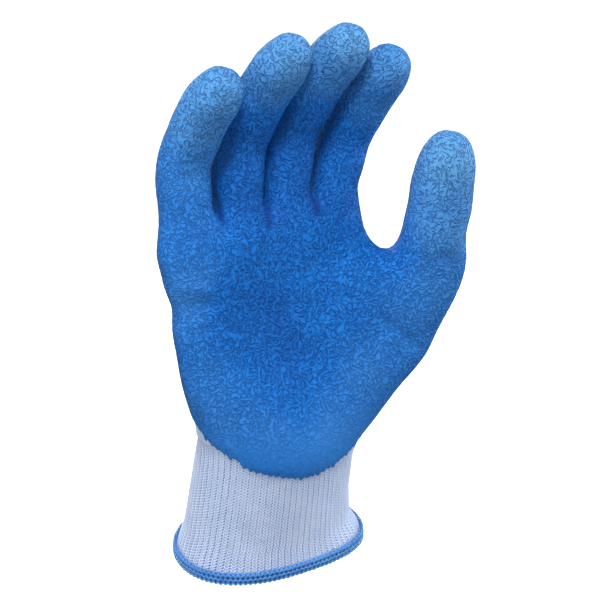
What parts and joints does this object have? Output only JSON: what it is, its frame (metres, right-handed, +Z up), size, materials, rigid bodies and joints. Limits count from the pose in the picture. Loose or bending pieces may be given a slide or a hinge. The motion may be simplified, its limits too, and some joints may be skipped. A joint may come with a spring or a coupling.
{
  "type": "latex coated grip glove",
  "caption": "Knitted work glove for a right hand with a crinkled latex coating over palm, fingers and thumb, a ribbed cuff and an overlocked hem, filled out as worn",
  "frame": {"origin": "the middle of the level wrist opening, in the plane of the hem's lower edge", "axes": "+Z up the cuff towards the fingers, -Y the palm side, +X the thumb side"},
  "size_m": [0.1515, 0.0808, 0.2408],
  "materials": {
    "latex": "matt crinkled blue latex",
    "knit": "pale blue seamless knit",
    "hem_thread": "blue overlock thread"
  },
  "bodies": {
    "root": {"latex_coating": "latex", "knit_liner": "knit", "rib_cuff": "knit", "hem_overlock": "hem_thread"}
  },
  "joints": []
}
